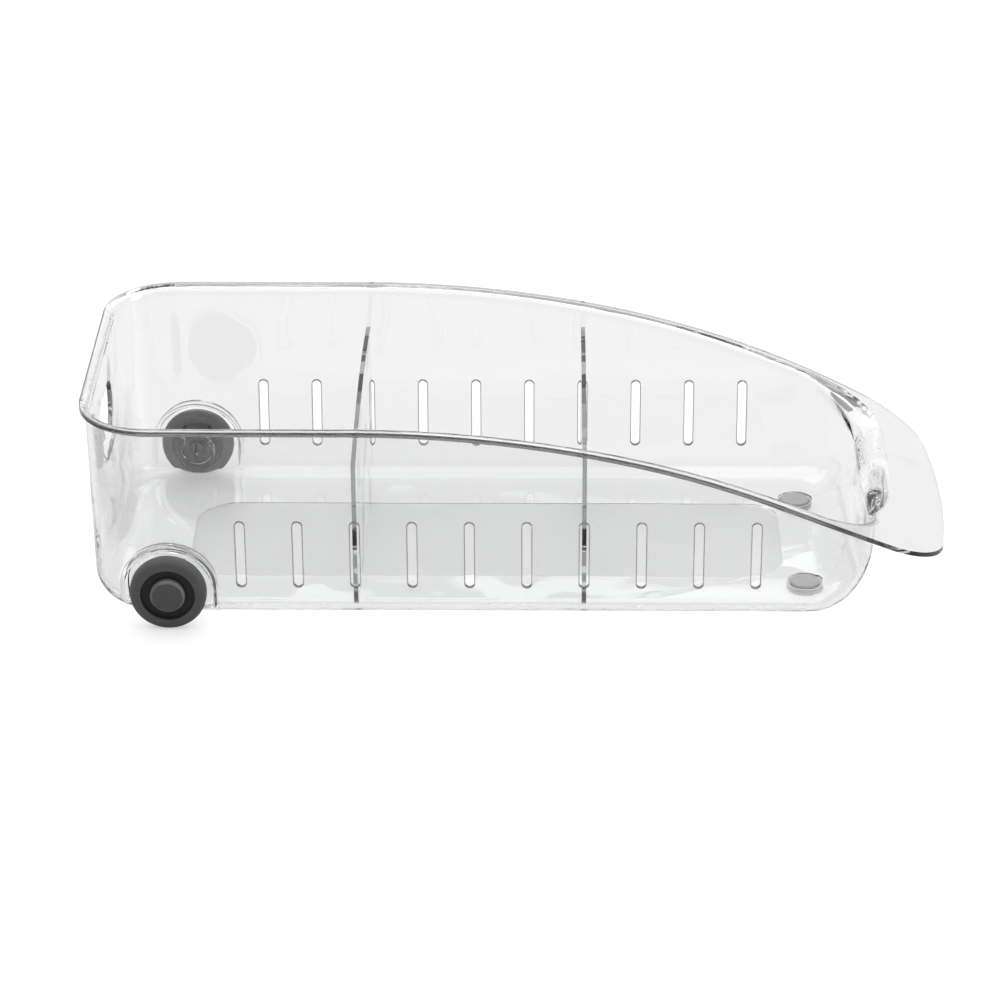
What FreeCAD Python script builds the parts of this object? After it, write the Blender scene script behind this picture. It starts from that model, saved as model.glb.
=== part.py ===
import FreeCAD, Part
import math
import os
import Sketcher

# A clear bin that rolls in and out of a fridge like a drawer: two wheels on snap-in pins at the
# back, two rubber feet at the front, a drooping pull lip, and two lift-out dividers whose side
# tabs stand in a row of slots.
# Frame: X across the bin, +Y towards the back, -Y towards the pull lip, Z up from the shelf.
# Lengths are in millimetres.

doc = FreeCAD.newDocument("rolling_fridge_bin")
Vector = FreeCAD.Vector
Rotation = FreeCAD.Rotation

# ---------------------------------------------------------------- driving dimensions

SIZES = [
    # the whole bin
    ("rim_length", 388.2, "rear rim to the tip of the pull lip"),
    ("rim_width", 168.0, "across the rim"),
    ("rim_height", 98.1, "shelf to the top of the rim at the back"),
    ("underside", 2.7, "shelf to the flat underside"),
    ("wall", 2.2, "thickness of the walls and the wheel wells"),
    ("floor_thick", 2.4, "thickness of the floor"),
    ("side_lean", 4.7, "each side wall leans out by this much from bottom to rim"),
    ("rear_lean", 0.7, "the rear wall leans out by this much"),
    ("plan_radius", 29.5, "upright corners of the tub, seen from above"),
    ("side_radius", 10.0, "floor edge along the sides"),
    ("rear_radius", 13.0, "floor edge along the back"),
    ("front_radius", 26.0, "floor edge along the front"),
    # rim and pull lip
    ("rim_overhang", 4.6, "the rim stands out past the side walls"),
    ("rear_overhang", 2.5, "the rim stands out past the rear wall"),
    ("rim_thick", 2.2, "thickness of the rim and of the pull lip"),
    ("rim_bend", 4.4, "bend from the inner side and rear walls over the rim"),
    ("lip_bend", 9.0, "bend from the inner front wall over the pull lip"),
    ("shoulder_run", 114.0, "length of the rim's first, gentle bend, seen from the side"),
    ("shoulder_radius", 550.0, "radius of the first bend"),
    ("brow_run", 75.4, "length of the second bend"),
    ("brow_radius", 444.0, "radius of the second bend"),
    ("lip_run", 77.6, "length of the last, long bend down to the lip's tip"),
    ("lip_bend_radius", 1000.0, "radius of the last bend"),
    ("lip_reach", 34.5, "front wall to the tip of the pull lip"),
    ("taper_start", 77.0, "the rim starts to narrow this far behind the tip"),
    ("taper_radius", 260.0, "bend by which the rim narrows towards the lip"),
    ("lip_corner_radius", 34.0, "rounded corners of the lip"),
    ("lip_front_radius", 416.0, "bow of the lip's front edge"),
    # rows of slots and the dividers
    ("slot_pitch", 25.4, "spacing of the slots"),
    ("slot_width", 4.0, "width of a slot"),
    ("slot_height", 32.5, "height of a slot over its round ends"),
    ("slot_middle", 34.5, "height of the slots' middle above the shelf"),
    ("slot_edge_round", 0.5, "rounded edges of the slots, inside and outside"),
    ("rear_slot", 71.2, "rear rim to the rearmost slot"),
    ("slot_row_end", 87.0, "the row of slots ends at least this far behind the lip's tip"),
    ("divider_thick", 2.0, "thickness of a divider"),
    ("divider_gap", 0.5, "gap between a divider's edge and the tub"),
    ("divider_drop", 19.4, "a divider's upper corners lie below the top of the rim by this much"),
    ("divider_crown", 6.0, "rise of a divider's top edge in the middle"),
    ("tab_seat_gap", 0.6, "gap under a tab, so that the divider stands on the floor"),
    ("tab_top_gap", 3.9, "gap over a tab, by which the divider lifts"),
    # wheels, wells and pins
    ("axle_from_rear", 38.7, "rear rim to the axle"),
    ("tyre_radius", 17.15, "tyre, outside; the axle is this high above the shelf"),
    ("tyre_inset", 1.7, "the tyre's outer face lies this far inside the edge of the rim"),
    ("tyre_width", 8.0, "width of the tyre"),
    ("tyre_round", 3.0, "rounded shoulders of the tyre"),
    ("hub_radius", 12.3, "hub, outside"),
    ("hub_grip", 0.1, "the tyre's bore is smaller than the hub by this much"),
    ("hub_recess", 1.5, "the hub's face lies behind the tyre's face"),
    ("hub_web", 2.4, "thickness of the hub's web"),
    ("hub_ring", 1.8, "thickness of the hub's outer ring"),
    ("sleeve_radius", 5.4, "hub sleeve around the pin"),
    ("spin_gap", 0.08, "running gap between pin and hub, all round"),
    ("end_gap", 0.3, "play of the hub along its pin, at each end"),
    ("cap_radius", 7.8, "head of the pin"),
    ("cap_proud", 3.1, "the pin's head stands out past the hub's face"),
    ("cap_sink", 1.0, "the pin's head is let into the hub by this much"),
    ("cap_bevel", 1.1, "bevelled edge of the pin's head"),
    ("pin_radius", 2.6, "shank of the pin"),
    ("pin_fit_gap", 0.05, "gap between shank and hole, all round"),
    ("barb_radius", 3.9, "snap barbs at the pin's end"),
    ("barb_length", 5.2, "length of the barbed end"),
    ("barb_land", 1.3, "straight part of the barbs, before they taper"),
    ("split_width", 1.3, "split across the barbed end"),
    ("well_clearance", 2.65, "space between tyre and well, all round"),
    ("plate_depth", 10.0, "tyre's outer face to the well's inner wall, which holds the pin"),
    ("well_round", 5.0, "rounded edge of the well, on the side of the tub's inside"),
    ("flare_proud", 2.6, "the flare around a wheel arch stands out past the wall"),
    ("flare_width", 2.2, "width of the flare, from the arch outwards"),
    ("guard_radius", 7.3, "inside of the guard rib around the pin's barbs"),
    ("guard_neck", 5.1, "half of the space between the rib's two ends"),
    ("guard_wall", 1.6, "thickness of the rib"),
    ("guard_length", 7.0, "the rib stands off the well's wall by this much"),
    ("guard_rise", 9.5, "axle to the rib's upper ends"),
    ("guard_round", 0.6, "rounded edges of the rib"),
    # rubber feet
    ("foot_inset", 33.1, "the feet stand this far inside the foot of the side walls"),
    ("foot_from_tip", 64.1, "tip of the lip to the feet"),
    ("foot_base_radius", 8.2, "base of a foot, under the floor"),
    ("foot_neck_radius", 5.0, "neck of a foot, through the floor"),
    ("foot_head_radius", 6.8, "head of a foot, inside the bin"),
    ("foot_head_thick", 1.3, "thickness of the head"),
    ("foot_edge", 0.5, "bevelled edges of the base and the head"),
    ("foot_fit_gap", 0.05, "gap between a foot and the floor"),
    ("foot_seat_radius", 8.2, "round seat in the floor for the head"),
    ("foot_seat_depth", 0.8, "depth of the seat"),
    # hand-hold and floor panel
    ("hold_width", 49.0, "hand-hold in the rear wall, from end to end"),
    ("hold_height", 27.5, "hand-hold, height"),
    ("hold_drop", 33.6, "top of the rim to the hand-hold's middle"),
    ("hold_edge_round", 0.7, "rounded edges of the hand-hold"),
    ("panel_inset", 37.3, "the matt floor panel lies this far inside the foot of the side walls"),
    ("panel_from_rear", 42.8, "rear rim to the panel"),
    ("panel_from_tip", 73.0, "tip of the lip to the panel"),
    ("panel_rear_radius", 20.0, "rear corners of the panel"),
    ("panel_front_radius", 15.0, "front corners of the panel"),
    ("panel_depth", 0.4, "the panel lies below the floor around it"),
]
REAR_DIVIDER_SLOT = 2
FRONT_DIVIDER_SLOT = 6


class Size:
    """A length known both as a number and as the sheet expression that keeps it up to date."""

    def __init__(self, value, text):
        self.value = value
        self.text = text

    def _with(self, other, sign, result):
        other_text = other.text if isinstance(other, Size) else repr(other)
        return Size(result, "(%s %s %s)" % (self.text, sign, other_text))

    def __add__(self, other):
        return self._with(other, "+", self.value + number(other))

    def __sub__(self, other):
        return self._with(other, "-", self.value - number(other))

    def __mul__(self, other):
        return self._with(other, "*", self.value * number(other))

    def __truediv__(self, other):
        return self._with(other, "/", self.value / number(other))

    def __neg__(self):
        return Size(-self.value, "(0 - %s)" % self.text)


def number(size):
    return size.value if isinstance(size, Size) else float(size)


sheet = doc.addObject("Spreadsheet::Sheet", "Sizes")
S = {}
for row, (alias, value, meaning) in enumerate(SIZES, start=1):
    sheet.set("A%d" % row, alias)
    sheet.set("B%d" % row, str(value))
    sheet.set("C%d" % row, meaning)
    sheet.setAlias("B%d" % row, alias)
    S[alias] = Size(value, "Sizes." + alias)
doc.recompute()

ZERO = Size(0.0, "0")
MARGIN = Size(5.0, "5")           # how far a cutting block runs past what it cuts
CUT_REACH = Size(400.0, "400")    # length of a block that cuts through the whole bin
LINE_SEARCH = 0.05                # an edge is taken to lie on a drawn line if this near to it
WALL_SEARCH = 0.3                 # the same for a wall face, whose corners bend a little as it leans

# ---------------------------------------------------------------- places worked out from the sizes

rear_end = S["rim_length"] / 2
lip_tip = -rear_end
rear_wall = rear_end - S["rear_overhang"]
front_wall = lip_tip + S["lip_reach"]
half_top = S["rim_width"] / 2 - S["rim_overhang"]
half_bottom = half_top - S["side_lean"]
tub_height = S["rim_height"] - S["underside"]
floor_top = S["underside"] + S["floor_thick"]
axle_y = rear_end - S["axle_from_rear"]
axle_z = S["tyre_radius"]
rear_slot_y = rear_end - S["rear_slot"]
slot_room = S["rim_length"] - S["rear_slot"] - S["slot_row_end"]
slot_count = int(number(slot_room / S["slot_pitch"])) + 1
flat_run = S["rim_length"] - S["shoulder_run"] - S["brow_run"] - S["lip_run"]
tyre_face = S["rim_width"] / 2 - S["tyre_inset"]
plate_face = tyre_face - S["plate_depth"]
hold_z = S["rim_height"] - S["hold_drop"]
foot_x = half_bottom - S["foot_inset"]
foot_y = lip_tip + S["foot_from_tip"]
foot_seat = floor_top - S["foot_seat_depth"]


def outer_half(height):
    """Half of the tub's outer width at a height above the shelf."""
    return half_bottom + S["side_lean"] * (height - S["underside"]) / tub_height


def outer_rear(height):
    """Where the rear wall's outer face is at a height above the shelf."""
    return rear_wall - S["rear_lean"] * (S["rim_height"] - height) / tub_height


# ---------------------------------------------------------------- drawing and feature helpers

PLAN = Rotation()
SIDE = Rotation(Vector(1, 1, 1), 120)      # sketch x runs along +Y, sketch y up, normal +X
ACROSS = Rotation(Vector(1, 0, 0), 90)     # sketch x runs along +X, sketch y up, normal -Y
ALONG_X = Rotation(Vector(0, 1, 0), 90)    # a cylinder's axis turned to +X


def bind(thing, name, size):
    thing.setExpression(name, size.text)


def place(thing, x=ZERO, y=ZERO, z=ZERO, rotation=PLAN):
    """Give an object its place; each coordinate follows the sheet."""
    thing.Placement = FreeCAD.Placement(Vector(number(x), number(y), number(z)), rotation)
    for axis, size in (("x", x), ("y", y), ("z", z)):
        if size is not ZERO:
            bind(thing, ".Placement.Base." + axis, size)


class Outline:
    """A sketch of closed chains of lines and arcs, held by dimensions from the sheet."""

    START, END, MIDDLE = 1, 2, 3

    def __init__(self, name, rotation=PLAN, x=ZERO, y=ZERO, z=ZERO, body=None, plane="XY_Plane"):
        if body:
            self.sketch = body.newObject("Sketcher::SketchObject", name)
            origin = [feature for feature in body.Origin.OriginFeatures if feature.Role == plane]
            self.sketch.AttachmentSupport = [(origin[0], "")]
            self.sketch.MapMode = "FlatFace"
        else:
            self.sketch = doc.addObject("Sketcher::SketchObject", name)
            place(self.sketch, x, y, z, rotation)
        self.chain = []

    def line(self, start, end, lie=None):
        """A straight edge; lie is Horizontal, Vertical or None."""
        ends = [Vector(number(x), number(y), 0) for x, y in (start, end)]
        index = self.sketch.addGeometry(Part.LineSegment(*ends), False)
        if lie:
            self.sketch.addConstraint(Sketcher.Constraint(lie, index))
        self.chain.append((index, self.START, self.END))
        return index

    def arc(self, centre, radius, first, last, turn=1):
        """An arc between two angles in degrees; turn -1 runs along it clockwise."""
        circle = Part.Circle(Vector(number(centre[0]), number(centre[1]), 0), Vector(0, 0, 1), number(radius))
        arc = Part.ArcOfCircle(circle, math.radians(first), math.radians(last))
        index = self.sketch.addGeometry(arc, False)
        self.chain.append((index, self.START, self.END) if turn > 0 else (index, self.END, self.START))
        return index

    def radius(self, index, size):
        self._hold("Radius", (index,), size)

    def at(self, index, point, x=None, y=None):
        """Hold a point of an edge at a distance from the sketch's origin."""
        for kind, size in (("DistanceX", x), ("DistanceY", y)):
            if size is None:
                continue
            if abs(size.value) < 1e-9:
                line = -2 if kind == "DistanceX" else -1
                self.sketch.addConstraint(Sketcher.Constraint("PointOnObject", index, point, line))
            elif size.value > 0:
                self._hold(kind, (-1, 1, index, point), size)
            else:
                self._hold(kind, (index, point, -1, 1), -size)

    def _hold(self, kind, where, size):
        constraint = self.sketch.addConstraint(Sketcher.Constraint(kind, *where, size.value))
        bind(self.sketch, "Constraints[%d]" % constraint, size)

    def close(self, sharp=()):
        """Join each edge of the chain to the next, smoothly except after the edges in sharp."""
        following = self.chain[1:] + self.chain[:1]
        for (index, _, leaving), (other, entering, _) in zip(self.chain, following):
            kind = "Coincident" if index in sharp else "Tangent"
            self.sketch.addConstraint(Sketcher.Constraint(kind, index, leaving, other, entering))
        self.chain = []
        return self.sketch


def polygon(name, corners, **where):
    """A closed outline of straight edges whose corners are all given by the sheet."""
    outline = Outline(name, **where)
    edges = []
    for start, end in zip(corners, corners[1:] + corners[:1]):
        edges.append(outline.line(start, end))
    for index, (x, y) in zip(edges, corners):
        outline.at(index, Outline.START, x, y)
    return outline.close(sharp=edges)


def obround(outline, middle_x, middle_y, half_gap, radius, upright):
    """Two half circles joined by straight sides; half_gap is middle to a half circle's centre."""
    step = (ZERO, half_gap) if upright else (half_gap, ZERO)
    high = (middle_x + step[0], middle_y + step[1])
    low = (middle_x - step[0], middle_y - step[1])
    side = (radius, ZERO) if upright else (ZERO, -radius)
    turn = 0 if upright else -90
    first = outline.line((low[0] + side[0], low[1] + side[1]), (high[0] + side[0], high[1] + side[1]))
    cap = outline.arc(high, radius, turn, turn + 180)
    outline.line((high[0] - side[0], high[1] - side[1]), (low[0] - side[0], low[1] - side[1]))
    foot = outline.arc(low, radius, turn + 180, turn + 360)
    outline.close()
    outline.sketch.addConstraint(Sketcher.Constraint("Vertical" if upright else "Horizontal", first))
    outline.sketch.addConstraint(Sketcher.Constraint("Equal", cap, foot))
    outline.radius(cap, radius)
    outline.at(cap, Outline.MIDDLE, high[0], high[1])
    outline.at(foot, Outline.MIDDLE, *((None, low[1]) if upright else (low[0], None)))


def extrude(name, sketch, length, both_ways=False):
    """A solid made by pushing an outline along its normal."""
    solid = doc.addObject("Part::Extrusion", name)
    solid.Base = sketch
    solid.DirMode = "Normal"
    solid.Solid = True
    solid.Symmetric = both_ways
    bind(solid, "LengthFwd", length)
    solid.LengthFwd = number(length)
    return solid


def cylinder(name, radius, length, x, y, z, rotation=PLAN):
    solid = doc.addObject("Part::Cylinder", name)
    bind(solid, "Radius", radius)
    bind(solid, "Height", length)
    place(solid, x, y, z, rotation)
    return solid


def mirrored(name, source):
    """The same solid on the bin's other side."""
    solid = doc.addObject("Part::Mirroring", name)
    solid.Source = source
    solid.Base = Vector(0, 0, 0)
    solid.Normal = Vector(1, 0, 0)
    return solid


def fuse(name, pieces):
    solid = doc.addObject("Part::MultiFuse", name)
    solid.Shapes = pieces
    solid.Refine = True
    return solid


def cut(name, base, tool):
    solid = doc.addObject("Part::Cut", name)
    solid.Base = base
    solid.Tool = tool
    solid.Refine = True
    return solid


def common(name, pieces):
    solid = doc.addObject("Part::MultiCommon", name)
    solid.Shapes = pieces
    return solid


def loft(name, sections):
    solid = doc.addObject("Part::Loft", name)
    solid.Sections = sections
    solid.Solid = True
    solid.Ruled = True
    return solid


def round_edges(name, base, choose):
    """Round the edges for which choose(edge) gives a pair of radii, one for each end."""
    doc.recompute()
    picked = []
    for index, edge in enumerate(base.Shape.Edges, start=1):
        radii = choose(edge)
        if radii:
            picked.append((index, radii[0], radii[1]))
    if not picked:
        raise ValueError("no edge to round on " + name)
    solid = doc.addObject("Part::Fillet", name)
    solid.Base = base
    solid.Edges = picked
    doc.recompute()
    return solid


def edge_ends(edge):
    return edge.valueAt(edge.FirstParameter), edge.valueAt(edge.LastParameter)


# ---------------------------------------------------------------- the tub's leaning block

def rounded_rectangle(name, height, half, rear, front, radius):
    """The tub's plan at one height: four lines and four equal corners."""
    outline = Outline(name, z=height)
    left, right = -half, half
    outline.line((left + radius, front), (right - radius, front), "Horizontal")
    corner = outline.arc((right - radius, front + radius), radius, 270, 360)
    outline.line((right, front + radius), (right, rear - radius), "Vertical")
    rear_right = outline.arc((right - radius, rear - radius), radius, 0, 90)
    outline.line((right - radius, rear), (left + radius, rear), "Horizontal")
    rear_left = outline.arc((left + radius, rear - radius), radius, 90, 180)
    outline.line((left, rear - radius), (left, front + radius), "Vertical")
    front_left = outline.arc((left + radius, front + radius), radius, 180, 270)
    outline.close()
    for index in (corner, rear_right, rear_left, front_left):
        outline.radius(index, radius)
    outline.at(corner, Outline.END, right, None)
    outline.at(corner, Outline.START, None, front)
    outline.at(rear_left, Outline.START, None, rear)
    outline.at(rear_left, Outline.END, left, None)
    return outline.sketch


def tub_block(name, inset, bottom, top):
    """The tub's shape at an inset from its outer faces, between two heights, floor edges rounded."""
    sections = []
    for level, height in (("low", bottom), ("high", top)):
        half = outer_half(height) - inset
        rear = outer_rear(height) - inset
        front = front_wall + inset
        radius = S["plan_radius"] - inset
        sections.append(rounded_rectangle("%s_%s" % (name, level), height, half, rear, front, radius))
    block = loft(name + "_loft", sections)
    middle = number(rear_wall + front_wall) / 2
    inset = number(inset)

    def radius_at(point):
        straight_side = abs(abs(point.x) - number(outer_half(bottom)) + inset) < LINE_SEARCH
        if straight_side:
            return S["side_radius"].value - inset
        if point.y > middle:
            return S["rear_radius"].value - inset
        return S["front_radius"].value - inset

    def choose(edge):
        if edge.BoundBox.ZMax > number(bottom) + LINE_SEARCH:
            return None
        first, last = edge_ends(edge)
        return radius_at(first), radius_at(last)

    return round_edges(name, block, choose)


# ---------------------------------------------------------------- the rim and the pull lip

def rim_plan():
    """The rim and the pull lip seen from above."""
    half = S["rim_width"] / 2
    corner = S["plan_radius"] + S["rim_overhang"]
    taper, lip, bow = S["taper_radius"], S["lip_corner_radius"], S["lip_front_radius"]
    taper_y = lip_tip + S["taper_start"]
    taper_x = half - taper
    bow_y = lip_tip + bow
    # the lip's corner touches the taper arc and the front bow from inside
    gap_y = number(bow_y - taper_y)
    span = math.hypot(number(taper_x), gap_y)
    to_taper = number(taper - lip)
    to_bow = number(bow - lip)
    along = (to_taper ** 2 - to_bow ** 2 + span ** 2) / (2 * span)
    off = math.sqrt(to_taper ** 2 - along ** 2)
    unit_x, unit_y = -number(taper_x) / span, gap_y / span
    lip_x = number(taper_x) + along * unit_x - off * -unit_y
    lip_y = number(taper_y) + along * unit_y - off * unit_x
    taper_end = math.degrees(math.atan2(lip_y - number(taper_y), lip_x - number(taper_x)))
    bow_end = math.degrees(math.atan2(lip_y - number(bow_y), lip_x))

    outline = Outline("rim_plan")
    front = outline.arc((ZERO, bow_y), bow, -180 - bow_end, bow_end)
    right_lip = outline.arc((Size(lip_x, ""), Size(lip_y, "")), lip, bow_end, taper_end)
    right_taper = outline.arc((taper_x, taper_y), taper, taper_end, 0)
    side = outline.line((half, taper_y), (half, rear_end - corner), "Vertical")
    right_corner = outline.arc((half - corner, rear_end - corner), corner, 0, 90)
    outline.line((half - corner, rear_end), (corner - half, rear_end), "Horizontal")
    left_corner = outline.arc((corner - half, rear_end - corner), corner, 90, 180)
    other_side = outline.line((-half, rear_end - corner), (-half, taper_y), "Vertical")
    left_taper = outline.arc((-taper_x, taper_y), taper, 180, 180 - taper_end)
    left_lip = outline.arc((Size(-lip_x, ""), Size(lip_y, "")), lip, 180 - taper_end, 180 - bow_end)
    outline.close()
    for index, size in ((front, bow), (right_lip, lip), (left_lip, lip), (right_taper, taper),
                        (left_taper, taper), (right_corner, corner), (left_corner, corner)):
        outline.radius(index, size)
    outline.at(front, Outline.MIDDLE, ZERO, bow_y)
    outline.at(side, Outline.START, half, taper_y)
    outline.at(other_side, Outline.END, -half, taper_y)
    outline.at(right_corner, Outline.END, None, rear_end)
    return outline.sketch


def rim_line(name, drop):
    """Everything below the rim's top line, seen from the side and lowered by a drop."""
    top, back, past_tip, below = S["rim_height"], rear_end + MARGIN, lip_tip - MARGIN, -MARGIN
    first, second, third = S["shoulder_radius"], S["brow_radius"], S["lip_bend_radius"]
    first_y = rear_end - flat_run
    second_y = first_y - S["shoulder_run"]
    third_y = second_y - S["brow_run"]
    # centre heights follow from the slopes at which the bends meet
    slope_1 = math.asin(number(S["shoulder_run"] / first))
    centre_2 = (number(second_y) + number(second) * math.sin(slope_1),
                number(top - first) + number(first - second) * math.cos(slope_1))
    slope_2 = math.asin((centre_2[0] - number(third_y)) / number(second))
    centre_3 = (centre_2[0] + number(third - second) * math.sin(slope_2),
                centre_2[1] - number(third - second) * math.cos(slope_2))
    slope_3 = math.asin((centre_3[0] - number(past_tip)) / number(third))
    angles = [90.0] + [90.0 + math.degrees(slope) for slope in (slope_1, slope_2, slope_3)]
    tip_z = centre_3[1] + number(third) * math.cos(slope_3)

    outline = Outline(name, rotation=SIDE, z=-drop)
    base = outline.line((past_tip, below), (back, below), "Horizontal")
    rear = outline.line((back, below), (back, top), "Vertical")
    outline.line((back, top), (first_y, top), "Horizontal")
    bend_1 = outline.arc((first_y, top - first), first, angles[0], angles[1])
    bend_2 = outline.arc(centre_2, second, angles[1], angles[2])
    bend_3 = outline.arc(centre_3, third, angles[2], angles[3])
    front = outline.line((past_tip, tip_z), (past_tip, below), "Vertical")
    outline.close(sharp=(base, rear, bend_3, front))
    for index, size in ((bend_1, first), (bend_2, second), (bend_3, third)):
        outline.radius(index, size)
    outline.at(base, Outline.START, past_tip, below)
    outline.at(rear, Outline.END, back, top)
    outline.at(bend_1, Outline.START, first_y, None)
    outline.at(bend_1, Outline.END, second_y, None)
    outline.at(bend_2, Outline.END, third_y, None)
    return outline.sketch


# ---------------------------------------------------------------- wheel wells

def arch(name, radius, foot, x):
    """A round-topped opening around the axle with straight legs down to a height."""
    outline = Outline(name, rotation=SIDE, x=x)
    base = outline.line((axle_y - radius, foot), (axle_y + radius, foot), "Horizontal")
    leg = outline.line((axle_y + radius, foot), (axle_y + radius, axle_z), "Vertical")
    top = outline.arc((axle_y, axle_z), radius, 0, 180)
    other = outline.line((axle_y - radius, axle_z), (axle_y - radius, foot), "Vertical")
    outline.close(sharp=(base, other))
    outline.radius(top, radius)
    outline.at(top, Outline.MIDDLE, axle_y, axle_z)
    outline.at(leg, Outline.START, None, foot)
    return outline.sketch


def keyhole(name, radius, neck, top, x):
    """A round outline around the axle with a narrower neck that runs up to a height."""
    lift = math.degrees(math.acos(number(neck) / number(radius)))
    rise = Size(number(radius) * math.sin(math.radians(lift)), "")
    outline = Outline(name, rotation=SIDE, x=x)
    bowl = outline.arc((axle_y, axle_z), radius, 180 - lift, 360 + lift)
    right = outline.line((axle_y + neck, axle_z + rise), (axle_y + neck, top), "Vertical")
    cap = outline.line((axle_y + neck, top), (axle_y - neck, top), "Horizontal")
    left = outline.line((axle_y - neck, top), (axle_y - neck, axle_z + rise), "Vertical")
    outline.close(sharp=(bowl, right, cap, left))
    outline.radius(bowl, radius)
    outline.at(bowl, Outline.MIDDLE, axle_y, axle_z)
    outline.at(right, Outline.END, axle_y + neck, top)
    outline.at(left, Outline.START, axle_y - neck, None)
    return outline.sketch


def both_sides(name, right_side):
    return [right_side, mirrored(name + "_left", right_side)]


# ---------------------------------------------------------------- the bin

def rim_top_at(y):
    """Height of the rim's top line at a place along the bin, to find edges by."""
    first_y = number(rear_end - flat_run)
    second_y = first_y - S["shoulder_run"].value
    third_y = second_y - S["brow_run"].value
    height, slope, start = S["rim_height"].value, 0.0, first_y
    for radius, end in ((S["shoulder_radius"].value, second_y), (S["brow_radius"].value, third_y),
                        (S["lip_bend_radius"].value, -math.inf)):
        if y >= start:
            break
        reach = math.sin(slope) + (start - max(y, end)) / radius
        height -= radius * (math.cos(slope) - math.sqrt(1 - reach ** 2))
        slope, start = math.asin(reach), end
    return height


def rim_bend_at(point):
    """Radius of the bend from an inner wall over the rim, at a place on the rim."""
    beside_front = abs(point.x) > number(half_top - S["plan_radius"]) + S["wall"].value
    return S["rim_bend"].value if beside_front or point.y > 0 else S["lip_bend"].value


def depth_in_wall(point):
    """How far a point lies inside the tub's outer face, measured level."""
    height = Size(point.z, "")
    half, rear, front = number(outer_half(height)), number(outer_rear(height)), number(front_wall)
    radius = S["plan_radius"].value
    past_x = abs(point.x) - half + radius
    past_y = abs(point.y - (rear + front) / 2) - (rear - front) / 2 + radius
    corner = math.hypot(max(past_x, 0.0), max(past_y, 0.0))
    return radius - corner - min(max(past_x, past_y), 0.0)


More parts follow.
